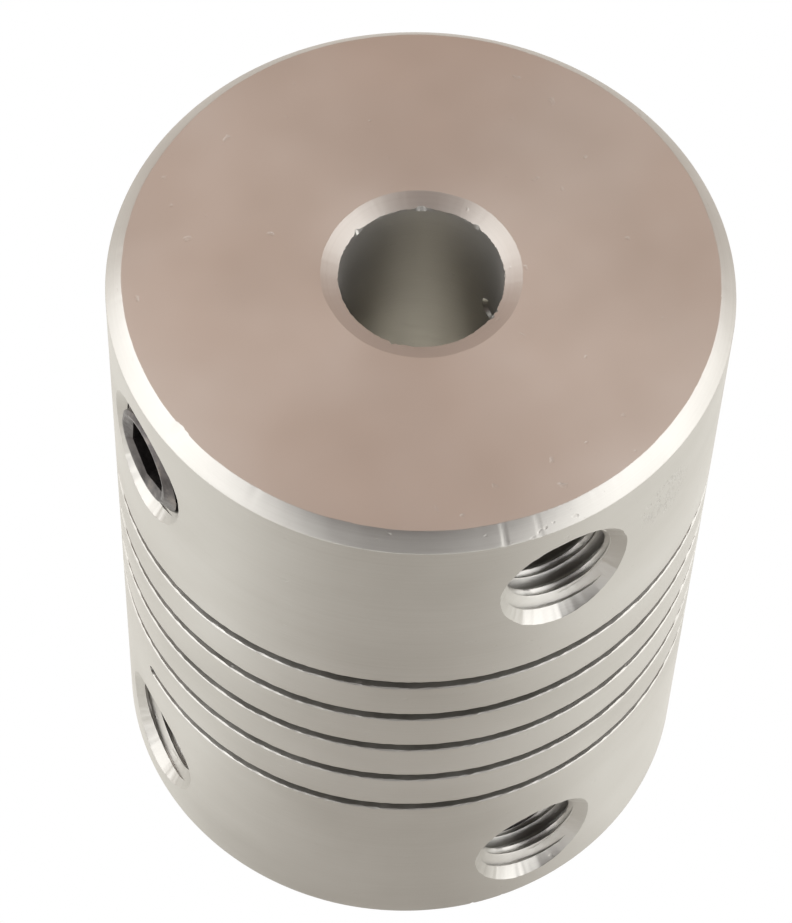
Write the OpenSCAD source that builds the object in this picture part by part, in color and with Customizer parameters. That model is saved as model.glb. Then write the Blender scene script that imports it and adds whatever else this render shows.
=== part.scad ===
// Helical beam coupling: one aluminium body whose helical slit leaves a flexible beam
// between two hubs, and four hex-socket set screws that hold the shafts.
// The beam is divided into half turns, so that each can bend, wind or close on its own.
// Origin: centre of the lower end face. +Z runs along the shafts, to the small bore.

/* [Body] */
// Outside diameter
body_d = 19; // [18:0.5:22]
// Overall length
body_l = 25; // [25:0.5:32]
// Chamfer on both outer edges
edge_chamfer = 0.5; // [0.2:0.1:0.8]

/* [Bores] */
// Shaft bore in the upper hub
upper_bore_d = 5; // [4:0.5:6]
// Shaft bore in the lower hub
lower_bore_d = 8; // [5:0.5:8]
// Width of the countersink around each bore
bore_csk_w = 0.55; // [0.2:0.05:0.7]
// Depth of the countersink around each bore
bore_csk_depth = 0.22; // [0.1:0.02:0.4]

/* [Slit] */
// Height of the slit's lower end above the lower end face
slit_start_z = 8; // [7.8:0.1:8.4]
// Rise of the slit in one turn
slit_pitch = 2.05; // [1.9:0.05:2.1]
// Width of the slit along the body's axis
slit_w = 0.4; // [0.3:0.05:0.5]

/* [Set screws] */
// Height of the lower pair of screw holes, and depth of the upper pair below the top
screw_inset = 3.7; // [3.5:0.1:4.2]
// Length of each set screw
screw_l = 4; // [3:0.5:5]
// Pitch diameter of the thread, which the plain holes are drilled to
thread_d = 3.6; // [3.5:0.05:3.7]
// Diameter of the countersink at each screw hole's mouth
hole_csk_d = 4.6; // [4.2:0.1:5]
// Width of the hex socket across its flats
socket_af = 2; // [1.5:0.1:2.2]
// How far below the surface the upper front screw's socket end stands
upper_front_depth = 2.9; // [0.1:0.1:2.9]
// How far below the surface the upper left screw's socket end stands
upper_left_depth = 0.1; // [0.1:0.1:2.9]
// How far below the surface the lower front screw's socket end stands
lower_front_depth = 1.4; // [0.1:0.1:1.4]
// How far below the surface the lower left screw's socket end stands
lower_left_depth = 1.4; // [0.1:0.1:1.4]

/* [Hidden] */

$fn = 96;
body_r = body_d / 2;
upper_bore_r = upper_bore_d / 2;
lower_bore_r = lower_bore_d / 2;
// The two bores meet just below the middle of the body
bores_meet_z = body_l / 2 - 0.1;

// The slit makes four and a half turns, from the left (-X) side up to the right (+X) side
slit_turns = 4.5;
slit_start_deg = 180;
// A beam of solid metal lies above each turn of the slit but the last
beam_turns = slit_turns - 1;
// Straight steps that make up one turn of a helical face
steps_per_turn = 24;
// Space between the end faces of neighbouring half turns, which lie in the plane y = 0
end_gap = 0.1;
// Where the turned body's own seam lies, between two sections of the helical faces
seam_deg = 93.75;
// Helical faces reach from inside the smallest bore to outside the body
helix_r_in = 1;
helix_r_out = body_r + 3;
// Reach of the blocks that cut or keep one side of the body
reach = body_l + 10;

// Set screws: running clearance in the holes, and the cup point at the inner end
thread_clearance = 0.04;
screw_r = thread_d / 2 - thread_clearance;
screw_chamfer = 0.35;
cup_l = 0.8;
cup_tip_r = 1;
cup_root_r = screw_r - 0.1;
cup_depth = 0.35;
cup_face_gap = 0.04;
socket_depth = 1.8;
front_deg = -90;
left_deg = 180;
upper_screw_z = body_l - screw_inset;
lower_screw_z = screw_inset;
// The drill for the upper left hole just touched the wall across the bore
dimple_r = 0.45;
dimple_depth = 0.2;

aluminium = "#b9b1a8";
black_oxide = "#38373a";

// Height of the slit's centre after a number of turns from its lower end
function slit_z(turns) = slit_start_z + slit_pitch * turns;

// The places, in turns, of the sections that make up half a turn
function half_turn(first) = [for (i = [0:steps_per_turn / 2]) first + i / steps_per_turn];

// A point on a helical face: its radius, its turns from the slit's lower end and its height
function helix_point(r, turns, z) = let (a = slit_start_deg + 360 * turns)
    [r * cos(a), r * sin(a), z];

// Four points of a section at one place along a helix: inner low, outer low, outer high, inner high
function section(turns, low, high) = [
    helix_point(helix_r_in, turns, low),
    helix_point(helix_r_out, turns, low),
    helix_point(helix_r_out, turns, high),
    helix_point(helix_r_in, turns, high)
];

// A closed solid through a list of four-point sections
module through_sections(sections) {
    last = len(sections) - 1;
    sides = [for (i = [0:last - 1], j = [0:3]) let (k = (j + 1) % 4)
        [4 * i + j, 4 * i + k, 4 * i + 4 + k, 4 * i + 4 + j]];
    halves = [for (q = sides) each [[q[0], q[2], q[1]], [q[0], q[3], q[2]]]];
    ends = [[0, 1, 2], [0, 2, 3],
        [4 * last, 4 * last + 2, 4 * last + 1], [4 * last, 4 * last + 3, 4 * last + 2]];
    polyhedron([for (s = sections) each s], concat(halves, ends));
}

// The body as turned and bored, before the slit and the screw holes
module blank() {
    rotate([0, 0, seam_deg])
        rotate_extrude()
            polygon([
                [lower_bore_r + bore_csk_w, 0],
                [body_r - edge_chamfer, 0],
                [body_r, edge_chamfer],
                [body_r, body_l - edge_chamfer],
                [body_r - edge_chamfer, body_l],
                [upper_bore_r + bore_csk_w, body_l],
                [upper_bore_r, body_l - bore_csk_depth],
                [upper_bore_r, bores_meet_z],
                [lower_bore_r, bores_meet_z],
                [lower_bore_r, bore_csk_depth]
            ]);
}

// A block on the side of the plane y = 0 that side gives, -1 or 1, clear of it by half a gap
module half_space(side) {
    translate([-reach / 2, side > 0 ? end_gap / 2 : -reach - end_gap / 2, 0])
        cube([reach, reach, reach]);
}

// Half a turn of the beam, counted from 1 at the lower hub
module half_coil(number) {
    first = (number - 1) / 2;
    color(aluminium)
        intersection() {
            blank();
            half_space(number % 2 == 1 ? -1 : 1);
            through_sections([for (turns = half_turn(first))
                section(turns, slit_z(turns) + slit_w / 2, slit_z(turns + 1) - slit_w / 2)]);
        }
}

// One screw hole, drilled from outside to the bore, with its countersunk mouth
module screw_hole(azimuth, z) {
    csk_depth = (hole_csk_d - thread_d) / 2;
    rotate([0, 0, azimuth])
        translate([0, 0, z])
            rotate([0, 90, 0]) {
                cylinder(d = thread_d, h = body_r + 1);
                translate([0, 0, body_r - csk_depth])
                    cylinder(d1 = thread_d, d2 = thread_d + 4 * csk_depth, h = 2 * csk_depth);
            }
}

// The lower hub, under the slit's first turn
module lower_hub() {
    color(aluminium)
        difference() {
            intersection() {
                blank();
                union() {
                    for (first = [0, 0.5])
                        through_sections([for (turns = half_turn(first))
                            section(turns, -1, slit_z(turns) - slit_w / 2)]);
                }
            }
            translate([-reach, 0, slit_z(0) - slit_w / 2])
                cube([reach, end_gap / 2, reach]);
            screw_hole(front_deg, lower_screw_z);
            screw_hole(left_deg, lower_screw_z);
        }
}

// The upper hub, over the slit's last turn
module upper_hub() {
    last_z = slit_z(slit_turns) + slit_w / 2;
    color(aluminium)
        difference() {
            intersection() {
                blank();
                union() {
                    for (first = [beam_turns, beam_turns + 0.5])
                        through_sections([for (turns = half_turn(first))
                            section(turns, slit_z(turns) + slit_w / 2, body_l + 1)]);
                }
            }
            translate([0, 0, last_z - reach])
                cube([reach, end_gap / 2, reach]);
            screw_hole(front_deg, upper_screw_z);
            screw_hole(left_deg, upper_screw_z);
            translate([upper_bore_r - 0.1, 0, upper_screw_z])
                rotate([0, 90, 0])
                    cylinder(r1 = dimple_r * 1.2, r2 = 0.05, h = dimple_depth + 0.1);
        }
}

// Places a screw, modelled along +Z with its socket end at z = 0, in its hole
module in_hole(azimuth, z, depth) {
    rotate([0, 0, azimuth])
        translate([body_r - depth, 0, z])
            rotate([0, 90, 0])
                children();
}

// The threaded part of a set screw, with its hex socket
module threaded_part() {
    length = screw_l - cup_l - cup_face_gap;
    color(black_oxide)
        difference() {
            union() {
                translate([0, 0, -length])
                    cylinder(r = screw_r, h = length - screw_chamfer);
                translate([0, 0, -screw_chamfer])
                    cylinder(r1 = screw_r, r2 = screw_r - screw_chamfer, h = screw_chamfer);
            }
            translate([0, 0, -socket_depth])
                cylinder(d = socket_af / cos(30), h = socket_depth + 1, $fn = 6);
        }
}

// The cup point that bites into the shaft
module cup_point() {
    color(black_oxide)
        difference() {
            translate([0, 0, -screw_l])
                cylinder(r1 = cup_tip_r, r2 = cup_root_r, h = cup_l);
            translate([0, 0, -screw_l - 0.1])
                cylinder(r1 = cup_tip_r * 0.8 + 0.1, r2 = 0.05, h = cup_depth + 0.1);
        }
}

module upper_front_screw() in_hole(front_deg, upper_screw_z, upper_front_depth) threaded_part();
module upper_front_cup_point() in_hole(front_deg, upper_screw_z, upper_front_depth) cup_point();
module upper_left_screw() in_hole(left_deg, upper_screw_z, upper_left_depth) threaded_part();
module upper_left_cup_point() in_hole(left_deg, upper_screw_z, upper_left_depth) cup_point();
module lower_front_screw() in_hole(front_deg, lower_screw_z, lower_front_depth) threaded_part();
module lower_front_cup_point() in_hole(front_deg, lower_screw_z, lower_front_depth) cup_point();
module lower_left_screw() in_hole(left_deg, lower_screw_z, lower_left_depth) threaded_part();
module lower_left_cup_point() in_hole(left_deg, lower_screw_z, lower_left_depth) cup_point();

lower_hub();
half_coil(1);  // half_coil_1
half_coil(2);  // half_coil_2
half_coil(3);  // half_coil_3
half_coil(4);  // half_coil_4
half_coil(5);  // half_coil_5
half_coil(6);  // half_coil_6
half_coil(7);  // half_coil_7
upper_hub();
upper_front_screw();
upper_front_cup_point();
upper_left_screw();
upper_left_cup_point();
lower_front_screw();
lower_front_cup_point();
lower_left_screw();
lower_left_cup_point();
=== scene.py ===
"""Looks for the helical beam coupling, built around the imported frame.

Shapes are worked out in millimetres and turned into metres when their mesh is made.
The origin is the centre of the lower end face, and +Z runs along the shafts.
"""

import math

import bmesh
import bpy
import numpy as np
from mathutils import Matrix, Vector


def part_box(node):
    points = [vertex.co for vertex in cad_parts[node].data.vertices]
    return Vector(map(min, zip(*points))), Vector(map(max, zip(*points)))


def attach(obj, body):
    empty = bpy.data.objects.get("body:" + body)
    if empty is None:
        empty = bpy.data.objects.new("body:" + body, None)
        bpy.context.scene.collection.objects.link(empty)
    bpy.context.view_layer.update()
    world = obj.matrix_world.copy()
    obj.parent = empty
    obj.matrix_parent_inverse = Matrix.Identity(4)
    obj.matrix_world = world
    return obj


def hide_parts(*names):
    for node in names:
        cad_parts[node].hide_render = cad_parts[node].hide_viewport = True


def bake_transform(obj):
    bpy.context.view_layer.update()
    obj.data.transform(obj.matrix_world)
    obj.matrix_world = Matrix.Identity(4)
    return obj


MM = 0.001
STEP_DEG = 0.5

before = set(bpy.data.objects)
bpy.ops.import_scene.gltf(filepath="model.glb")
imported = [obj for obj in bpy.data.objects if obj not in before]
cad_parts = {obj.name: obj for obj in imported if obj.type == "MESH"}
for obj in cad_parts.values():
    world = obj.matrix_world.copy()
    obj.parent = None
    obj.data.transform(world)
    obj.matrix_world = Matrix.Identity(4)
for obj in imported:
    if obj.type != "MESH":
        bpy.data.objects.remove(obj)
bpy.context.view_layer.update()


def frame_mm(node):
    """A CAD node's lowest and highest corners at rest, in millimetres."""
    low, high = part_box(node)
    return low / MM, high / MM


# ---------------------------------------------------------------- sizes, in millimetres

BODY_R = frame_mm("upper_hub")[1].y
TOP_Z = frame_mm("upper_hub")[1].z
EDGE_CHAMFER = 0.5
UPPER_BORE_R = 2.5
LOWER_BORE_R = 4.0
BORES_MEET_Z = TOP_Z / 2 - 0.1
BORE_CSK_W = 0.55
BORE_CSK_DEPTH = 0.22

SLIT_START_Z = 8.0
SLIT_PITCH = 2.05
SLIT_HALF_W = 0.2
SLIT_TURNS = 4.5
SLIT_START_DEG = 180
# The sawn edges are broken back by about this much, give or take a wave
SAW_BREAK = 0.035
SAW_WAVE = 0.012

THREAD_PITCH = 0.7
HOLE_CSK_R = 2.3
SOCKET_AF = 2.0
SOCKET_DEPTH = 1.8
SCREW_CHAMFER = 0.35
# How far each socket is turned for every 90 degrees of its hole's azimuth
SOCKET_TURN_DEG = 12
LAND_R = 1.44
LAND_W = 0.07

# Screws by name: azimuth of the hole, and the body that the hole is in
SCREWS = {
    "upper_front": (-90, "upper_hub"),
    "upper_left": (180, "upper_hub"),
    "lower_front": (-90, "lower_hub"),
    "lower_left": (180, "lower_hub"),
}

# Finishes, in the order of the material slots of every aluminium piece
TURNED, FACED, EDGE, BORED, SAWN, TAPPED, COUNTERSUNK, TORN = range(8)


# ---------------------------------------------------------------- numbers that vary round the body


def ripple(seed, lowest=3, highest=120, fall=0.5):
    """A smooth random wave round the body, between about -1 and 1, as a function of degrees."""
    rng = np.random.RandomState(seed)
    counts = np.unique(np.geomspace(lowest, highest, 14).astype(int))
    sizes = counts ** -fall
    sizes = sizes / np.sqrt((sizes**2).sum() / 2) / 1.6
    phases = rng.uniform(0, 2 * math.pi, len(counts))

    def value(degrees):
        return float((sizes * np.sin(counts * math.radians(degrees) + phases)).sum())

    return value


def nicks(places):
    """Small dents round an edge, as a function of degrees. places are (degrees, width in degrees, size)."""

    def value(degrees):
        total = 0.0
        for centre, width, size in places:
            away = (degrees - centre + 180) % 360 - 180
            total += size * math.exp(-((away / width) ** 2))
        return total

    return value


def seeded_nicks(seed, count, width, size):
    """Nicks of about that width in degrees and that size, at random places."""
    rng = np.random.RandomState(seed)
    return nicks(
        [
            (rng.uniform(0, 360), width * rng.uniform(0.4, 1.4), size * rng.uniform(0.3, 1.0))
            for _ in range(count)
        ]
    )


# ---------------------------------------------------------------- meshes


def make_mesh(name, points, faces, finishes=None, weld=1e-4):
    """A closed mesh from points in millimetres. finishes gives each face's material slot."""
    bm = bmesh.new()
    made = [bm.verts.new(Vector(p) * MM) for p in points]
    for i, face in enumerate(faces):
        corners = []
        for index in face:
            if not corners or made[index] is not corners[-1]:
                corners.append(made[index])
        f = bm.faces.new(corners)
        f.material_index = finishes[i] if finishes else 0
    bmesh.ops.remove_doubles(bm, verts=bm.verts, dist=weld * MM)
    bmesh.ops.dissolve_degenerate(bm, edges=bm.edges, dist=weld * MM * 0.5)
    bmesh.ops.recalc_face_normals(bm, faces=bm.faces)
    mesh = bpy.data.meshes.new(name)
    bm.to_mesh(mesh)
    bm.free()
    obj = bpy.data.objects.new(name, mesh)
    bpy.context.scene.collection.objects.link(obj)
    return obj


def arc(corner, before, after, radius, count=3):
    """Points that round off a corner of an outline, from the side of before to the side of after."""
    c, b, a = (np.array(p, float) for p in (corner, before, after))
    to_b, to_a = (b - c) / np.linalg.norm(b - c), (a - c) / np.linalg.norm(a - c)
    half = math.acos(max(-1.0, min(1.0, float(to_b @ to_a)))) / 2
    reach = radius / math.tan(half)
    start, end = c + to_b * reach, c + to_a * reach
    middle = c + (to_b + to_a) / np.linalg.norm(to_b + to_a) * (radius / math.sin(half))
    found = []
    for i in range(count + 1):
        p = start + (end - start) * i / count - middle
        found.append(tuple(middle + p / np.linalg.norm(p) * radius))
    return found


def round_body(azimuth, radius, height):
    """The point at an azimuth in degrees, a radius and a height."""
    a = math.radians(azimuth)
    return (radius * math.cos(a), radius * math.sin(a), height)


def swept(azimuths, outline_at):
    """Points, faces and finishes through closed outlines of (radius, height, finish), one for each azimuth.

    The finish belongs to the face that starts at its point.
    """
    points, faces, finishes = [], [], []
    outlines = [outline_at(a) for a in azimuths]
    size = len(outlines[0])
    for azimuth, outline in zip(azimuths, outlines):
        points += [round_body(azimuth, r, z) for r, z, _ in outline]
    for i in range(len(azimuths) - 1):
        for j in range(size):
            k = (j + 1) % size
            faces.append((i * size + j, (i + 1) * size + j, (i + 1) * size + k, i * size + k))
            finishes.append(outlines[i][j][2])
    last = (len(azimuths) - 1) * size
    return points, faces, finishes, size, last


def sweep(name, azimuths, outline_at):
    """A mesh through closed outlines, with a flat face at each end."""
    points, faces, finishes, size, last = swept(azimuths, outline_at)
    faces += [tuple(range(size)), tuple(reversed(range(last, last + size)))]
    finishes += [SAWN, SAWN]
    return make_mesh(name, points, faces, finishes)


def boolean(obj, cutter, operation):
    """Applies a Boolean with another mesh, which is then removed."""
    mod = obj.modifiers.new("cut", "BOOLEAN")
    mod.operation = operation
    mod.object = cutter
    mod.solver = "MANIFOLD"
    mod.material_mode = "INDEX"
    apply_modifiers(obj)
    bpy.data.objects.remove(cutter)


def apply_modifiers(obj):
    graph = bpy.context.evaluated_depsgraph_get()
    done = bpy.data.meshes.new_from_object(obj.evaluated_get(graph), depsgraph=graph)
    obj.modifiers.clear()
    old = obj.data
    obj.data = done
    done.name = obj.name
    bpy.data.meshes.remove(old)


def set_normals(obj, sharp_deg=30):
    """Smooth shading with true normals on the turned, faced and bored surfaces."""
    mesh = obj.data
    mesh.shade_smooth()
    mesh.set_sharp_from_angle(angle=math.radians(sharp_deg))
    normals = [(0.0, 0.0, 0.0)] * len(mesh.loops)
    for face in mesh.polygons:
        if face.material_index == FACED and abs(face.normal.z) > 0.999:
            for loop in face.loop_indices:
                normals[loop] = (0.0, 0.0, math.copysign(1.0, face.normal.z))
        elif face.material_index in (TURNED, BORED) and abs(face.normal.z) < 0.02:
            for loop in face.loop_indices:
                co = mesh.vertices[mesh.loops[loop].vertex_index].co
                out = Vector((co.x, co.y, 0)).normalized()
                if out.dot(face.normal) < 0:
                    out = -out
                if out.dot(face.normal) > 0.98:
                    normals[loop] = tuple(out)
    mesh.normals_split_custom_set(normals)


# ---------------------------------------------------------------- hubs


def slit_z(turns):
    """Height of the slit's centre after a number of turns."""
    return SLIT_START_Z + SLIT_PITCH * turns


chip = ripple(11, 12, 170, 0.25)
rim_wave = ripple(12, 4, 90, 0.6)
saw_wave = ripple(13, 30, 175, 0.1)
bore_nicks = nicks(
    [
        (222, 1.4, 0.13),
        (226, 2.5, 0.05),
        (298, 2.2, 0.10),
        (304, 1.5, 0.07),
        (20, 3, 0.06),
        (62, 4, 0.07),
        (112, 2.5, 0.10),
    ]
)
rim_nicks = nicks([(190.7, 0.75, 0.13), (192.2, 0.5, 0.08), (189.6, 0.3, 0.06)])
shoulder_nicks = nicks([(257, 0.28, 0.10), (263.4, 0.22, 0.06), (291, 0.2, 0.04)])
small_nicks = seeded_nicks(5, 40, 0.7, 0.03)


def end_outline(azimuth, bore_r, end_z, out):
    """The end of a hub from its outer wall to its bore: a chamfer, the faced end and the bore's countersink.

    end_z is the end face's height and out is 1 if it faces up and -1 if it faces down.
    """
    wave = 0.012 * rim_wave(azimuth) + 0.5 * rim_nicks(azimuth) + 0.4 * small_nicks(azimuth)
    chamfer = EDGE_CHAMFER + wave
    rim = (BODY_R - chamfer, end_z)
    shoulder = (BODY_R, end_z - out * (EDGE_CHAMFER - 0.3 * wave + 0.6 * shoulder_nicks(azimuth)))
    burr = 0.012 * chip(azimuth) + bore_nicks(azimuth)
    csk = (bore_r + BORE_CSK_W + 0.01 * rim_wave(azimuth + 90), end_z)
    # Chips break the lip itself, and leave the cone above them true
    torn = max(0.004, 0.014 + burr)
    cone_end = (bore_r + torn, end_z - out * BORE_CSK_DEPTH * (1 - torn / BORE_CSK_W))
    lip = (bore_r + 0.45 * torn, cone_end[1] - out * (0.05 + 0.5 * torn))
    below = (bore_r, end_z - out * (BORE_CSK_DEPTH + 0.12 + 0.05 * chip(azimuth + 40)))
    found = [(*p, EDGE) for p in arc(shoulder, (BODY_R, end_z - out * 5), rim, 0.06)]
    found += [(*p, FACED if i == 3 else EDGE) for i, p in enumerate(arc(rim, shoulder, csk, 0.04))]
    found += [(BODY_R - 2, end_z, FACED), (csk[0] + 1.2, end_z, FACED)]
    found += [(*p, COUNTERSUNK) for p in arc(csk, rim, cone_end, 0.04)]
    found += [(*cone_end, TORN), (*lip, TORN), (*below, BORED)]
    return found


def saw_edge(azimuth, seed):
    """How far a slit's edge is broken back, in millimetres."""
    return SAW_BREAK + SAW_WAVE * saw_wave(azimuth + seed * 47)


def upper_hub_outline(azimuth):
    """The upper hub's section. Its underside climbs as the slit does, from azimuth 0."""
    under = slit_z(SLIT_TURNS - 1 + azimuth / 360) + SLIT_HALF_W
    step_z = slit_z(SLIT_TURNS) + SLIT_HALF_W
    e = saw_edge(azimuth, 1)
    found = [(BODY_R - e, under, SAWN), (BODY_R, under + e, TURNED), (BODY_R, step_z + 0.06, TURNED)]
    found += [(BODY_R, 19, TURNED), (BODY_R, 21.3, TURNED)]
    found += end_outline(azimuth, UPPER_BORE_R, TOP_Z, 1)
    found += [(UPPER_BORE_R, 21.3, BORED), (UPPER_BORE_R, step_z + 0.06, BORED), (UPPER_BORE_R, under, SAWN)]
    return found


def lower_hub_outline(azimuth):
    """The lower hub's section. Its top climbs as the slit does, from azimuth 180."""
    over = slit_z((azimuth - SLIT_START_DEG) / 360) - SLIT_HALF_W
    step_z = slit_z(0) - SLIT_HALF_W
    e = saw_edge(azimuth, 2)
    found = [(BODY_R - e, over, SAWN), (BODY_R, over - e, TURNED), (BODY_R, step_z - 0.06, TURNED)]
    found += [(BODY_R, 3.7, TURNED)]
    found += end_outline(azimuth, LOWER_BORE_R, 0, -1)
    found += [(LOWER_BORE_R, 3.7, BORED), (LOWER_BORE_R, step_z - 0.06, BORED), (LOWER_BORE_R, over, SAWN)]
    return found


def stations(first, last):
    """Azimuths in degrees, evenly spaced."""
    count = max(1, round((last - first) / STEP_DEG))
    return [first + (last - first) * i / count for i in range(count + 1)]


def hub(name, outline_at, first):
    """A hub as turned and sawn, before its holes. The ramp's step is a wall at the first azimuth."""
    points, faces, finishes, size, last = swept(stations(first, first + 360), outline_at)
    # The wall joins the start's extra height to the end's: both outlines share every point but these
    wall = [0, 1, 2, last + 2, last + 1, last, last + size - 1, last + size - 2, size - 2, size - 1]
    faces.append(wall)
    finishes.append(SAWN)
    return make_mesh(name, points, faces, finishes)


def hole_matrix(azimuth, z):
    """Places a shape made along +Z, from the body's axis outwards, in a screw hole."""
    return (
        Matrix.Translation((0, 0, z * MM))
        @ Matrix.Rotation(math.radians(azimuth), 4, "Z")
        @ Matrix.Rotation(math.radians(90), 4, "Y")
    )


# One pitch of each thread: (place along the axis, radius). The tapped one has the doubled crest of a worn tap
TAPPED_PROFILE = [
    (-0.03, 2.0),
    (0.03, 2.0),
    (0.19, 1.68),
    (0.225, 1.635),
    (0.265, 1.655),
    (0.35, 1.76),
    (0.435, 1.655),
    (0.475, 1.635),
    (0.51, 1.68),
]
SCREW_PROFILE = [(-0.025, 1.94), (0.025, 1.94), (0.17, 1.61), (0.21, 1.56), (0.49, 1.56), (0.53, 1.61)]
SCREW_CREST_R = 1.94
SCREW_ROOT_R = 1.56


def helical_rod(name, across, start, end, finish, steps=96, rough=0.0):
    """A rod along +Z with a right-hand thread, from one pitch of its profile."""
    rng = np.random.RandomState(3)
    size = len(across)
    first_turn = math.floor(start / THREAD_PITCH)
    turns = math.ceil(end / THREAD_PITCH) - first_turn
    rows = turns * size
    points, faces = [], []
    wobble = rng.uniform(-rough, rough, (steps, rows + size))
    for i in range(steps):
        a = 2 * math.pi * i / steps
        for j in range(rows + 1):
            z, r = across[j % size]
            r = r + wobble[i][j]
            z = z + THREAD_PITCH * (first_turn + j // size + i / steps)
            points.append((r * math.cos(a), r * math.sin(a), z))
    stride = rows + 1
    for i in range(steps - 1):
        for j in range(rows):
            faces.append((i * stride + j, (i + 1) * stride + j, (i + 1) * stride + j + 1, i * stride + j + 1))
    # The last column meets the first, one pitch further on
    last = (steps - 1) * stride
    for j in range(rows - size):
        faces.append((last + j, j + size, j + size + 1, last + j + 1))
    bottom, top = len(points), len(points) + 1
    points += [(0, 0, THREAD_PITCH * (first_turn - 0.5)), (0, 0, THREAD_PITCH * (first_turn + turns + 0.5))]
    for i in range(steps - 1):
        faces.append((bottom, (i + 1) * stride, i * stride))
        faces.append((top, i * stride + rows, (i + 1) * stride + rows))
    for j in range(size):
        faces.append((bottom, j, j + 1))
        faces.append((top, last + rows - size + j + 1, last + rows - size + j))
    faces.append((bottom, size, last))
    faces.append((top, last + rows - size, rows))
    return make_mesh(name, points, faces, [finish] * len(faces), weld=1e-5)


def lathe(name, outline, finish, count=96):
    """A solid of revolution about +Z from an open outline of (radius, height) whose ends lie on the axis."""
    points, faces, finishes = [], [], []
    size = len(outline)
    for i in range(count):
        a = 2 * math.pi * i / count
        points += [(r * math.cos(a), r * math.sin(a), z) for r, z in outline]
    for i in range(count):
        k = (i + 1) % count
        for j in range(size - 1):
            faces.append((i * size + j, k * size + j, k * size + j + 1, i * size + j + 1))
            finishes.append(finish)
    return make_mesh(name, points, faces, finishes)


def in_place(obj, matrix):
    """Moves an unplaced mesh's own points, and hands it back."""
    obj.data.transform(matrix)
    return obj


def drill_screw_hole(obj, azimuth, z, seed):
    """A tapped hole with a countersunk mouth, from the bore out through the wall."""
    place = hole_matrix(azimuth, z)
    tap = helical_rod("tap", TAPPED_PROFILE, 0.0, BODY_R + 1.5, TAPPED, rough=0.006)
    boolean(obj, in_place(tap, place), "DIFFERENCE")
    wave = ripple(seed, 3, 60, 0.3)
    points, faces = [], []
    count = 180
    mouth = HOLE_CSK_R
    deep = mouth - 1.75
    rings = [(1.75, -deep), (mouth - 0.05, -0.05), (mouth + 0.02, 0.06), (mouth + 0.35, 1.0)]
    for i in range(count):
        a = 2 * math.pi * i / count
        bump = 0.018 * wave(math.degrees(a))
        for r, h in rings:
            r = r + bump
            # The mouth follows the round wall: its height changes with the distance across the body
            across = r * math.sin(a)
            drop = BODY_R - math.sqrt(max(0.0, BODY_R**2 - across**2)) if h > -0.5 else 0.0
            points.append((r * math.cos(a), r * math.sin(a), BODY_R - 0.45 * drop + h))
    size = len(rings)
    for i in range(count):
        k = (i + 1) % count
        for j in range(size - 1):
            faces.append((i * size + j, k * size + j, k * size + j + 1, i * size + j + 1))
    faces.append([i * size for i in range(count)])
    faces.append([i * size + size - 1 for i in reversed(range(count))])
    csk = make_mesh("csk", points, faces, [COUNTERSUNK] * len(faces))
    boolean(obj, in_place(csk, place), "DIFFERENCE")


def slit_end(obj, azimuth, z):
    """The half-round end of the slit."""
    rod = lathe("slit_end", [(0, 1.0), (SLIT_HALF_W, 1.0), (SLIT_HALF_W, BODY_R + 2), (0, BODY_R + 2)], SAWN, 24)
    boolean(obj, in_place(rod, hole_matrix(azimuth, z)), "DIFFERENCE")


def hole_height(screw):
    low, high = frame_mm(screw + "_screw")
    return (low.z + high.z) / 2


made = {}
made["upper_hub"] = hub("upper_hub_body", upper_hub_outline, 0)
made["lower_hub"] = hub("lower_hub_body", lower_hub_outline, 180)

slit_end(made["upper_hub"], 0, slit_z(SLIT_TURNS))
slit_end(made["lower_hub"], 180, slit_z(0))
for number, (screw, (azimuth, body)) in enumerate(SCREWS.items()):
    drill_screw_hole(made[body], azimuth, hole_height(screw), 30 + number)

# The drill for the upper left hole just touched the wall across the bore
dimple = lathe(
    "dimple",
    [
        (0, UPPER_BORE_R + 0.16),
        (0.3, UPPER_BORE_R + 0.1),
        (0.42, UPPER_BORE_R - 0.02),
        (0.5, UPPER_BORE_R - 0.4),
        (0, UPPER_BORE_R - 0.4),
    ],
    BORED,
    48,
)
boolean(made["upper_hub"], in_place(dimple, hole_matrix(0, hole_height("upper_left"))), "DIFFERENCE")


# ---------------------------------------------------------------- the flexible beam


def beam_outline(azimuth):
    """The beam's section. It has the larger bore below the height where the bores meet."""
    turns = (azimuth - SLIT_START_DEG) / 360
    low, high = slit_z(turns) + SLIT_HALF_W, slit_z(turns + 1) - SLIT_HALF_W
    e_low, e_high = saw_edge(azimuth, 3), saw_edge(azimuth, 4)
    outer = [
        (BODY_R - e_low, low, TURNED),
        (BODY_R, low + e_low, TURNED),
        (BODY_R, (low + high) / 2, TURNED),
        (BODY_R, high - e_high, SAWN),
        (BODY_R - e_high, high, SAWN),
        (6.5, high, SAWN),
    ]
    step_z = min(max(BORES_MEET_Z, low), high)
    top_r = UPPER_BORE_R if high > BORES_MEET_Z else LOWER_BORE_R
    low_r = LOWER_BORE_R if low < BORES_MEET_Z else UPPER_BORE_R
    inner = [
        (top_r, high, BORED),
        (top_r, step_z, SAWN),
        (low_r, step_z, BORED),
        (low_r, low, SAWN),
        (6.5, low, SAWN),
    ]
    return outer + inner


CHAIN = ["lower_hub"] + [f"half_coil_{k}" for k in range(1, 8)] + ["upper_hub"]
for k in range(1, 9):
    # Each piece of the beam crosses one flexing place, and meets the next in the middle of a rigid half turn
    first = max(0.0, (k - 1) / 2 - 0.25)
    last = min(SLIT_TURNS - 1, (k - 1) / 2 + 0.25)
    azimuths = stations(SLIT_START_DEG + 360 * first, SLIT_START_DEG + 360 * last)
    made[f"beam_{k}"] = sweep(f"beam_{k}", azimuths, beam_outline)


# ---------------------------------------------------------------- set screws


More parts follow.
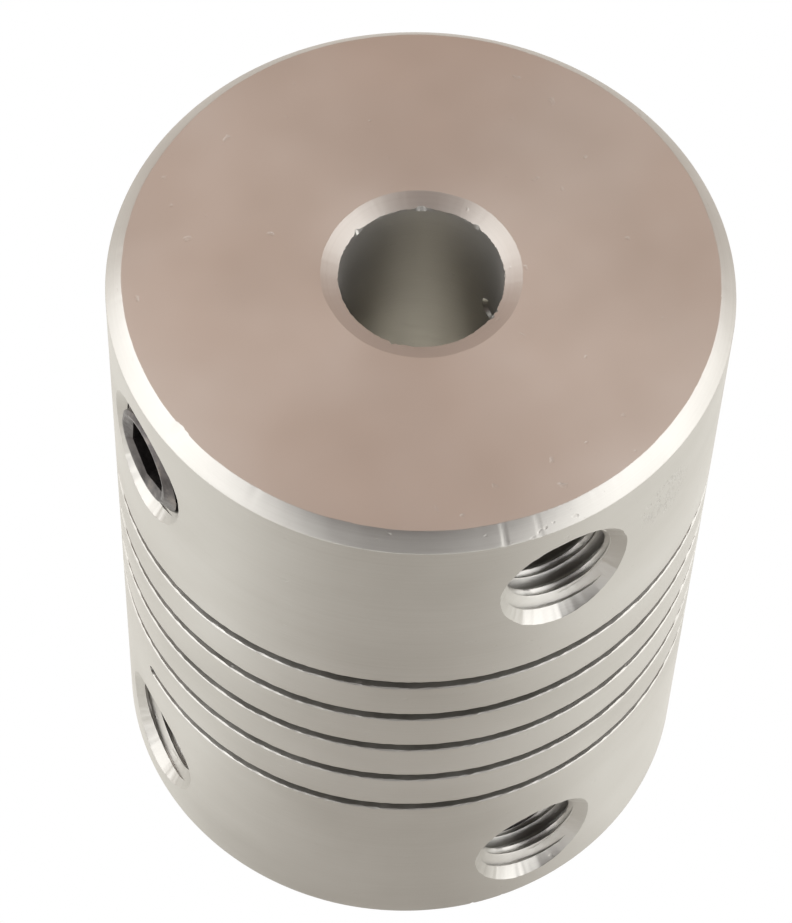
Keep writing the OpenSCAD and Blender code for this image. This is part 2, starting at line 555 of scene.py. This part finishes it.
def screw_pieces(screw, azimuth):
    """The threaded part, with its socket, and the cup point of one set screw."""
    place = hole_matrix(azimuth, hole_height(screw))
    away = Vector((math.cos(math.radians(azimuth)), math.sin(math.radians(azimuth)), 0))

    def along(node):
        low, high = frame_mm(node)
        ends = sorted((low.dot(away), high.dot(away)))
        return ends[0], ends[1]

    inner, outer = along(screw + "_screw")
    tip, root = along(screw + "_cup_point")
    body = helical_rod("threads", SCREW_PROFILE, inner - 2, outer + 2, 0)
    envelope = lathe(
        "envelope",
        [
            (0, inner),
            (SCREW_ROOT_R - 0.04, inner),
            (SCREW_ROOT_R, inner + 0.05),
            (SCREW_CREST_R + 0.2, inner + 0.35),
            (SCREW_CREST_R + 0.2, outer - SCREW_CHAMFER * 1.2),
            (LAND_R + 0.02, outer - 0.02),
            (LAND_R, outer),
            (0, outer),
        ],
        0,
    )
    boolean(body, envelope, "INTERSECT")
    hex_r = SOCKET_AF / math.sqrt(3)
    points, faces = [], []
    mouth_r = LAND_R - LAND_W
    rings = [
        (hex_r, outer - SOCKET_DEPTH),
        (hex_r, outer - (mouth_r - hex_r) * 0.7),
        (mouth_r, outer + 0.001),
        (mouth_r, outer + 1),
    ]
    sides = 72
    for ring, (r, z) in enumerate(rings):
        for i in range(sides):
            a = math.radians(360 / sides * i)
            # The two deep rings are hexagonal, and the mouth is round
            half = math.pi / 6
            flat = math.cos(half) / math.cos((a + half) % (2 * half) - half)
            reach = r * flat if ring < 2 else r
            a += math.radians(SOCKET_TURN_DEG * azimuth / 90)
            points.append((reach * math.cos(a), reach * math.sin(a), z))
    for j in range(len(rings) - 1):
        for i in range(sides):
            k = (i + 1) % sides
            faces.append((j * sides + i, j * sides + k, (j + 1) * sides + k, (j + 1) * sides + i))
    bottom = len(points)
    points.append((0, 0, outer - SOCKET_DEPTH - 0.5))
    faces += [(bottom, (i + 1) % sides, i) for i in range(sides)]
    faces.append([3 * sides + i for i in range(sides)])
    socket = make_mesh("socket", points, faces)
    boolean(body, socket, "DIFFERENCE")
    body.name = screw + "_threads"
    in_place(body, place)
    point = lathe(
        screw + "_cup",
        [
            (0, tip + 0.36),
            (0.45, tip + 0.22),
            (0.78, tip + 0.02),
            (0.84, tip),
            (1.0, tip),
            (1.04, tip + 0.03),
            (SCREW_ROOT_R - 0.04, root - 0.04),
            (SCREW_ROOT_R - 0.08, root),
            (0, root),
        ],
        0,
    )
    in_place(point, place)
    return body, point


for screw, (azimuth, body) in SCREWS.items():
    made[screw + "_threads"], made[screw + "_cup"] = screw_pieces(screw, azimuth)


# ---------------------------------------------------------------- finishes


class Finish:
    """A procedural metal made of nodes. Its coordinates are millimetres on the piece itself."""

    def __init__(self, name):
        self.material = bpy.data.materials.new(name)
        self.material.use_nodes = True
        self.tree = self.material.node_tree
        self.shader = self.tree.nodes["Principled BSDF"]
        self.shader.inputs["Metallic"].default_value = 1.0
        place = self.tree.nodes.new("ShaderNodeTexCoord")
        self.mm = self.vector("SCALE", place.outputs["Object"], scale=1 / MM)
        self.height = None

    def link(self, source, target):
        self.tree.links.new(source, target)

    def vector(self, operation, first, second=None, scale=None):
        node = self.tree.nodes.new("ShaderNodeVectorMath")
        node.operation = operation
        self.link(first, node.inputs[0])
        if second is not None:
            node.inputs[1].default_value = second
        if scale is not None:
            node.inputs["Scale"].default_value = scale
        return node.outputs["Value"] if operation == "LENGTH" else node.outputs["Vector"]

    def number(self, operation, first, second=0.0):
        node = self.tree.nodes.new("ShaderNodeMath")
        node.operation = operation
        for socket, value in zip(node.inputs, (first, second)):
            if isinstance(value, (int, float)):
                socket.default_value = value
            else:
                self.link(value, socket)
        return node.outputs["Value"]

    def stretched(self, scale, turn_deg=0.0):
        """Coordinates turned about +Z and then scaled along each axis."""
        turned = self.mm
        if turn_deg:
            node = self.tree.nodes.new("ShaderNodeVectorRotate")
            node.rotation_type = "Z_AXIS"
            node.inputs["Angle"].default_value = math.radians(turn_deg)
            self.link(self.mm, node.inputs["Vector"])
            turned = node.outputs["Vector"]
        return self.vector("MULTIPLY", turned, second=scale)

    def rings(self, across, along, axis_xy=(0.0, 0.0)):
        """Coordinates that change fast with the distance from a line along +Z, and slowly round it."""
        flat = self.vector("MULTIPLY", self.mm, second=(1, 1, 0))
        centred = self.vector("ADD", flat, second=(-axis_xy[0], -axis_xy[1], 0))
        radius = self.vector("LENGTH", centred)
        node = self.tree.nodes.new("ShaderNodeCombineXYZ")
        slow = self.vector("SCALE", centred, scale=along)
        split = self.tree.nodes.new("ShaderNodeSeparateXYZ")
        self.link(slow, split.inputs[0])
        self.link(self.number("MULTIPLY", radius, across), node.inputs["Z"])
        self.link(split.outputs["X"], node.inputs["X"])
        self.link(split.outputs["Y"], node.inputs["Y"])
        return node.outputs["Vector"]

    def noise(self, vector, detail=3.0, rough=0.6, scale=1.0):
        node = self.tree.nodes.new("ShaderNodeTexNoise")
        node.inputs["Scale"].default_value = scale
        node.inputs["Detail"].default_value = detail
        node.inputs["Roughness"].default_value = rough
        self.link(vector, node.inputs["Vector"])
        return node.outputs["Fac"]

    def spread(self, value, low, high, to_low=0.0, to_high=1.0, smooth=False):
        """Maps the range low to high onto another, clamped."""
        node = self.tree.nodes.new("ShaderNodeMapRange")
        node.interpolation_type = "SMOOTHSTEP" if smooth else "LINEAR"
        for socket, number in zip(list(node.inputs)[1:5], (low, high, to_low, to_high)):
            socket.default_value = number
        self.link(value, node.inputs[0])
        return node.outputs[0]

    def near(self, centre, radius, soft):
        """1 within a distance in millimetres of a point, falling to 0."""
        away = self.vector("LENGTH", self.vector("ADD", self.mm, second=tuple(-c for c in centre)))
        return self.spread(away, radius, radius + soft, 1.0, 0.0, smooth=True)

    def colour(self, value, stops):
        node = self.tree.nodes.new("ShaderNodeValToRGB")
        ramp = node.color_ramp
        while len(ramp.elements) < len(stops):
            ramp.elements.new(1.0)
        for element, (place, rgb) in zip(ramp.elements, stops):
            element.position = place
            element.color = (*rgb, 1)
        self.link(value, node.inputs["Fac"])
        self.link(node.outputs["Color"], self.shader.inputs["Base Color"])

    def roughness(self, value):
        self.link(value, self.shader.inputs["Roughness"])

    def turned_marks(self, strength):
        """Marks that run round +Z, which spread reflections along it."""
        around = self.tree.nodes.new("ShaderNodeVectorMath")
        around.operation = "CROSS_PRODUCT"
        self.link(self.mm, around.inputs[0])
        around.inputs[1].default_value = (0, 0, 1)
        self.link(around.outputs["Vector"], self.shader.inputs["Tangent"])
        self.shader.inputs["Anisotropic"].default_value = strength
        self.shader.inputs["Anisotropic Rotation"].default_value = 0.25

    def bump(self, value, depth_mm):
        """Adds relief: value 0 to 1 stands for depth_mm."""
        scaled = self.number("MULTIPLY", value, depth_mm)
        self.height = scaled if self.height is None else self.number("ADD", self.height, scaled)

    def done(self):
        if self.height is not None:
            node = self.tree.nodes.new("ShaderNodeBump")
            node.inputs["Strength"].default_value = 1.0
            node.inputs["Distance"].default_value = MM
            self.link(self.height, node.inputs["Height"])
            self.link(node.outputs["Normal"], self.shader.inputs["Normal"])
        return self.material


BRUSH_DEG = 58
SCUFF_AT = (3.71, -8.74, 22.15)


def turned_finish():
    """The outer wall: fine marks round the body, small pits, and a slow change of tone."""
    f = Finish("aluminium_turned")
    fine = f.noise(f.stretched((0.10, 0.10, 26)), 3, 0.7)
    coarse = f.noise(f.stretched((0.05, 0.05, 5)), 2, 0.5)
    pits = f.noise(f.stretched((2.2, 2.2, 5.0)), 2, 0.5)
    stain = f.noise(f.stretched((0.12, 0.12, 0.18)), 3, 0.5)
    pit = f.spread(pits, 0.70, 0.78)
    tone = f.number("ADD", f.number("MULTIPLY", fine, 0.35), f.number("MULTIPLY", stain, 0.65))
    # Partly painted shade: the wall's base colour is set darker than the end faces' so that its reflections come out
    # dim; the fine marks and the slow stain vary it at random.
    f.colour(tone, [(0.30, (0.46, 0.445, 0.415)), (0.52, (0.54, 0.525, 0.495)), (0.75, (0.61, 0.60, 0.575))])
    f.roughness(f.spread(f.number("ADD", fine, f.number("MULTIPLY", pit, 0.4)), 0.3, 1.1, 0.38, 0.58))
    f.bump(fine, 0.0020)
    f.bump(coarse, 0.0022)
    f.bump(pit, -0.008)
    # A scuffed patch beside the upper front hole
    patch = f.near(SCUFF_AT, 0.75, 0.55)
    scuff = f.spread(f.noise(f.stretched((4.5, 4.5, 3.5)), 4, 0.7), 0.50, 0.66)
    f.bump(f.number("MULTIPLY", patch, scuff), -0.045)
    f.turned_marks(0.5)
    return f.done()


def faced_finish():
    """The end faces: fine lines one way from finishing, over faint arcs from facing in the lathe."""
    f = Finish("aluminium_faced")
    fine = f.noise(f.stretched((0.14, 7.5, 1), BRUSH_DEG), 4, 0.8)
    long_lines = f.noise(f.stretched((0.30, 3.2, 1), BRUSH_DEG - 4), 3, 0.6)
    scratch = f.spread(f.noise(f.stretched((0.45, 11, 1), BRUSH_DEG + 3), 2, 0.5), 0.66, 0.74)
    faint = f.spread(f.noise(f.stretched((0.22, 6, 2), BRUSH_DEG - 9), 2, 0.5), 0.64, 0.75)
    patchy = f.spread(f.noise(f.stretched((0.35, 0.35, 3)), 2, 0.5), 0.42, 0.62)
    arcs = f.noise(f.rings(7, 0.2), 2, 0.6)
    worn = f.near((3.0, -2.9, TOP_Z), 1.3, 2.4)
    specks = f.spread(f.noise(f.stretched((5, 5, 5)), 2, 0.6), 0.70, 0.75)
    stain = f.noise(f.stretched((0.16, 0.16, 0.16)), 3, 0.5)
    bright = f.number("MULTIPLY", scratch, patchy)
    lines = f.number("ADD", f.number("MULTIPLY", fine, 0.5), f.number("MULTIPLY", stain, 0.5))
    tone = f.number("ADD", lines, f.number("MULTIPLY", bright, 0.35))
    stops = [
        (0.28, (0.66, 0.625, 0.615)),
        (0.52, (0.75, 0.715, 0.705)),
        (0.72, (0.83, 0.80, 0.79)),
        (0.95, (0.96, 0.95, 0.94)),
    ]
    f.colour(tone, stops)
    f.roughness(f.spread(fine, 0.2, 0.9, 0.30, 0.44))
    f.bump(fine, 0.0065)
    f.bump(long_lines, 0.0075)
    f.bump(bright, 0.010)
    f.bump(faint, -0.005)
    f.bump(f.number("MULTIPLY", arcs, worn), 0.012)
    f.bump(specks, -0.008)
    return f.done()


def edge_finish():
    """The chamfer: a brighter, narrower cut with fine turned lines."""
    f = Finish("aluminium_edge")
    lines = f.noise(f.stretched((0.12, 0.12, 9)), 3, 0.7)
    stain = f.noise(f.stretched((0.5, 0.5, 0.5)), 3, 0.6)
    f.colour(f.number("ADD", f.number("MULTIPLY", lines, 0.5), f.number("MULTIPLY", stain, 0.5)),
             [(0.3, (0.66, 0.62, 0.61)), (0.7, (0.84, 0.80, 0.79))])
    f.roughness(f.spread(lines, 0.2, 0.9, 0.08, 0.18))
    f.bump(lines, 0.0045)
    return f.done()


def countersunk_finish():
    """The countersinks: chattered rings round the bore, and scratched cones at the screw holes."""
    f = Finish("aluminium_countersunk")
    rings = f.noise(f.rings(16, 0.5), 2, 0.6)
    scratches = f.noise(f.stretched((3, 3, 11)), 4, 0.7)
    f.colour(f.noise(f.stretched((1.1, 1.1, 1.1)), 3, 0.6),
             [(0.3, (0.64, 0.58, 0.55)), (0.55, (0.80, 0.76, 0.74)), (0.75, (0.86, 0.85, 0.85))])
    f.roughness(f.spread(scratches, 0.3, 0.8, 0.05, 0.15))
    f.bump(rings, 0.0020)
    f.bump(scratches, 0.0030)
    return f.done()


def bored_finish():
    """The bores: reamed, with fine marks round them and a dull olive-grey tone."""
    f = Finish("aluminium_bored")
    lines = f.noise(f.stretched((0.3, 0.3, 15)), 4, 0.7)
    stain = f.noise(f.stretched((0.6, 0.6, 0.35)), 3, 0.6)
    f.colour(stain, [(0.3, (0.46, 0.45, 0.385)), (0.55, (0.60, 0.59, 0.515)), (0.75, (0.68, 0.67, 0.60))])
    f.roughness(f.spread(lines, 0.25, 0.8, 0.34, 0.50))
    f.bump(lines, 0.0060)
    f.shader.inputs["Metallic"].default_value = 0.5
    f.turned_marks(0.8)
    return f.done()


def sawn_finish():
    """The sawn faces of the slit: dull and darkened."""
    f = Finish("aluminium_sawn")
    arcs = f.noise(f.rings(6, 0.6), 3, 0.6)
    f.colour(arcs, [(0.3, (0.10, 0.105, 0.095)), (0.7, (0.26, 0.265, 0.245))])
    f.roughness(f.spread(arcs, 0.3, 0.8, 0.45, 0.65))
    f.bump(arcs, 0.010)
    return f.done()


def torn_finish():
    """The torn lip under the bore's countersink: dark and rough."""
    f = Finish("aluminium_torn")
    torn = f.noise(f.stretched((2.5, 2.5, 9)), 4, 0.7)
    f.colour(torn, [(0.36, (0.07, 0.065, 0.06)), (0.55, (0.25, 0.24, 0.21)), (0.72, (0.60, 0.58, 0.53))])
    f.roughness(f.spread(torn, 0.3, 0.8, 0.25, 0.55))
    f.bump(torn, 0.02)
    return f.done()


def tapped_finish():
    """The screw threads in the holes: bright crests, with cutting oil and swarf darkening them."""
    f = Finish("aluminium_tapped")
    grime = f.noise(f.stretched((1.3, 1.3, 1.3)), 4, 0.65)
    torn = f.noise(f.stretched((7, 7, 7)), 3, 0.6)
    f.colour(grime, [(0.32, (0.24, 0.20, 0.17)), (0.5, (0.55, 0.52, 0.49)), (0.7, (0.80, 0.79, 0.77))])
    f.roughness(f.spread(torn, 0.3, 0.8, 0.16, 0.40))
    f.bump(torn, 0.009)
    return f.done()


def screw_finish():
    """Blackened steel, with lighter blotches at random."""
    f = Finish("black_oxide_steel")
    blotch = f.noise(f.stretched((1.4, 1.4, 1.4)), 4, 0.65)
    fine = f.noise(f.stretched((9, 9, 9)), 3, 0.6)
    f.colour(blotch, [(0.3, (0.055, 0.05, 0.05)), (0.55, (0.13, 0.12, 0.12)), (0.75, (0.26, 0.23, 0.21))])
    f.roughness(f.spread(fine, 0.3, 0.8, 0.28, 0.50))
    f.bump(fine, 0.004)
    return f.done()


turned = turned_finish()
sawn = sawn_finish()
aluminium = [
    turned,
    faced_finish(),
    edge_finish(),
    bored_finish(),
    sawn,
    tapped_finish(),
    countersunk_finish(),
    torn_finish(),
]
steel = screw_finish()

# ---------------------------------------------------------------- finishes, and each hub and screw on its body

FLEX = [(CHAIN[k - 1], CHAIN[k]) for k in range(1, 9)]


def finish_piece(obj, materials):
    # Known fault: clear() also resets every face to the first slot, so only the first finish shows
    obj.data.materials.clear()
    for material in materials:
        obj.data.materials.append(material)


for hub_name in ("lower_hub", "upper_hub"):
    piece = made[hub_name]
    finish_piece(piece, aluminium)
    set_normals(piece)
    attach(piece, hub_name)
    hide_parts(hub_name)

for k, (below, above) in enumerate(FLEX, 1):
    piece = made[f"beam_{k}"]
    finish_piece(piece, aluminium)
    set_normals(piece)
    # Along the beam, y falls as it passes the left side and rises as it passes the right
    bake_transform(piece)
    if k < 8:
        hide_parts(f"half_coil_{k}")

for screw in SCREWS:
    threads, cup = made[screw + "_threads"], made[screw + "_cup"]
    for piece, body, node in ((threads, "_screw", "_screw"), (cup, "_point", "_cup_point")):
        finish_piece(piece, [steel])
        set_normals(piece, 35)
        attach(piece, screw + body)
        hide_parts(screw + node)

# ---------------------------------------------------------------- floor, light and camera

def direction(azimuth, elevation):
    a, e = math.radians(azimuth), math.radians(elevation)
    return (math.cos(a) * math.cos(e), math.sin(a) * math.cos(e), math.sin(e))


CAMERA_AZIMUTH = 239.6
CAMERA_ELEVATION = 58.3

floor_mesh = bpy.data.meshes.new("floor")
FLOOR_R = 1.5
floor_mesh.from_pydata(
    [(FLOOR_R * math.cos(math.radians(a)), FLOOR_R * math.sin(math.radians(a)), 0) for a in range(0, 360, 6)],
    [],
    [tuple(range(60))],
)
floor = bpy.data.objects.new("floor", floor_mesh)
bpy.context.scene.collection.objects.link(floor)
floor_paint = bpy.data.materials.new("floor_paint")
floor_paint.use_nodes = True


def light_table(material):
    """A glowing floor, plain white to the camera. It lights the metal less from the front, and most from the bore."""
    tree = material.node_tree
    new, link = tree.nodes.new, tree.links.new
    shader = tree.nodes["Principled BSDF"]
    shader.inputs["Base Color"].default_value = (0.0, 0.0, 0.0, 1)
    shader.inputs["Specular IOR Level"].default_value = 0.0
    shader.inputs["Emission Strength"].default_value = 1.0
    place = new("ShaderNodeTexCoord")
    outwards = new("ShaderNodeVectorMath")
    outwards.operation = "NORMALIZE"
    link(place.outputs["Object"], outwards.inputs[0])
    facing = new("ShaderNodeVectorMath")
    facing.operation = "DOT_PRODUCT"
    facing.inputs[1].default_value = direction(CAMERA_AZIMUTH, 0)
    link(outwards.outputs["Vector"], facing.inputs[0])
    away = new("ShaderNodeVectorMath")
    away.operation = "LENGTH"
    link(place.outputs["Object"], away.inputs[0])
    front = new("ShaderNodeMapRange")
    link(facing.outputs["Value"], front.inputs[0])
    for socket, value in zip(list(front.inputs)[1:5], (0.55, 0.98, 0.0, 1.0)):
        socket.default_value = value
    shade = new("ShaderNodeMix")
    shade.data_type = "RGBA"
    shade.inputs[6].default_value = (1.08, 1.06, 1.0, 1)
    shade.inputs[7].default_value = (0.62, 0.58, 0.53, 1)
    link(front.outputs[0], shade.inputs[0])
    under = new("ShaderNodeMapRange")
    link(away.outputs["Value"], under.inputs[0])
    for socket, value in zip(list(under.inputs)[1:5], (LOWER_BORE_R * MM, (LOWER_BORE_R + 1) * MM, 1.0, 0.0)):
        socket.default_value = value
    bore = new("ShaderNodeMix")
    bore.data_type = "RGBA"
    bore.inputs[7].default_value = (2.2, 2.1, 1.85, 1)
    link(shade.outputs[2], bore.inputs[6])
    link(under.outputs[0], bore.inputs[0])
    path = new("ShaderNodeLightPath")
    seen = new("ShaderNodeMix")
    seen.data_type = "RGBA"
    seen.inputs[7].default_value = (1, 1, 1, 1)
    link(bore.outputs[2], seen.inputs[6])
    link(path.outputs["Is Camera Ray"], seen.inputs[0])
    link(seen.outputs[2], shader.inputs["Emission Color"])


light_table(floor_paint)
floor_mesh.materials.append(floor_paint)


# Soft zones of the studio round the object: azimuth from the photograph's camera, elevation, inner and outer
# radius in degrees, and colour. They are low at the back, high at the back, and in front.
STUDIO = [
    (180, 4, 44, 70, (0.52, 0.40, 0.35)),
    (180, 60, 20, 43, (0.82, 0.60, 0.50)),
    (0, 50, 37, 43, (0.10, 0.088, 0.090)),
]
WALLS = (2.4, 2.4, 2.4)


def studio_world():
    """An even white studio with soft, darker zones, which the metal reflects. The camera sees plain white."""
    world = bpy.data.worlds.new("studio")
    bpy.context.scene.world = world
    world.use_nodes = True
    tree = world.node_tree
    new, link = tree.nodes.new, tree.links.new
    place = new("ShaderNodeTexCoord")
    unit = new("ShaderNodeVectorMath")
    unit.operation = "NORMALIZE"
    link(place.outputs["Generated"], unit.inputs[0])
    colour = None
    for azimuth, elevation, inner, outer, rgb in STUDIO:
        dot = new("ShaderNodeVectorMath")
        dot.operation = "DOT_PRODUCT"
        dot.inputs[1].default_value = direction(CAMERA_AZIMUTH + azimuth, elevation)
        link(unit.outputs["Vector"], dot.inputs[0])
        soft = new("ShaderNodeMapRange")
        soft.interpolation_type = "SMOOTHERSTEP"
        soft.inputs[1].default_value = math.cos(math.radians(outer))
        soft.inputs[2].default_value = math.cos(math.radians(inner))
        link(dot.outputs["Value"], soft.inputs[0])
        mix = new("ShaderNodeMix")
        mix.data_type = "RGBA"
        if colour is None:
            mix.inputs[6].default_value = (*WALLS, 1)
        else:
            link(colour, mix.inputs[6])
        mix.inputs[7].default_value = (*rgb, 1)
        link(soft.outputs[0], mix.inputs[0])
        colour = mix.outputs[2]
    background = tree.nodes["Background"]
    path = new("ShaderNodeLightPath")
    plain = new("ShaderNodeMix")
    plain.data_type = "RGBA"
    plain.inputs[7].default_value = (1, 1, 1, 1)
    link(colour, plain.inputs[6])
    link(path.outputs["Is Camera Ray"], plain.inputs[0])
    link(plain.outputs[2], background.inputs["Color"])
    background.inputs["Strength"].default_value = 1.0


studio_world()

CAMERA_AT = Vector((-33.74, -57.42, 121.89)) * MM
CAMERA_AIM = Vector((-0.44, 0.26, 14.18)) * MM
# The right-hand side of the picture, which sets the camera's slight roll
CAMERA_RIGHT = Vector((0.88463, -0.46567, 0.02413))
camera_data = bpy.data.cameras.new("camera")
camera_data.lens = 152.7
camera_data.sensor_width = 36
camera_data.clip_start = 0.005
camera_data.clip_end = 10
camera = bpy.data.objects.new("camera", camera_data)
bpy.context.scene.collection.objects.link(camera)
forward = (CAMERA_AIM - CAMERA_AT).normalized()
right = (CAMERA_RIGHT - forward * CAMERA_RIGHT.dot(forward)).normalized()
up = right.cross(forward)
turn = Matrix((right, up, -forward)).transposed().to_4x4()
camera.matrix_world = Matrix.Translation(CAMERA_AT) @ turn
bpy.context.scene.camera = camera

bpy.context.scene.view_settings.view_transform = "Standard"
bpy.context.scene.view_settings.look = "None"
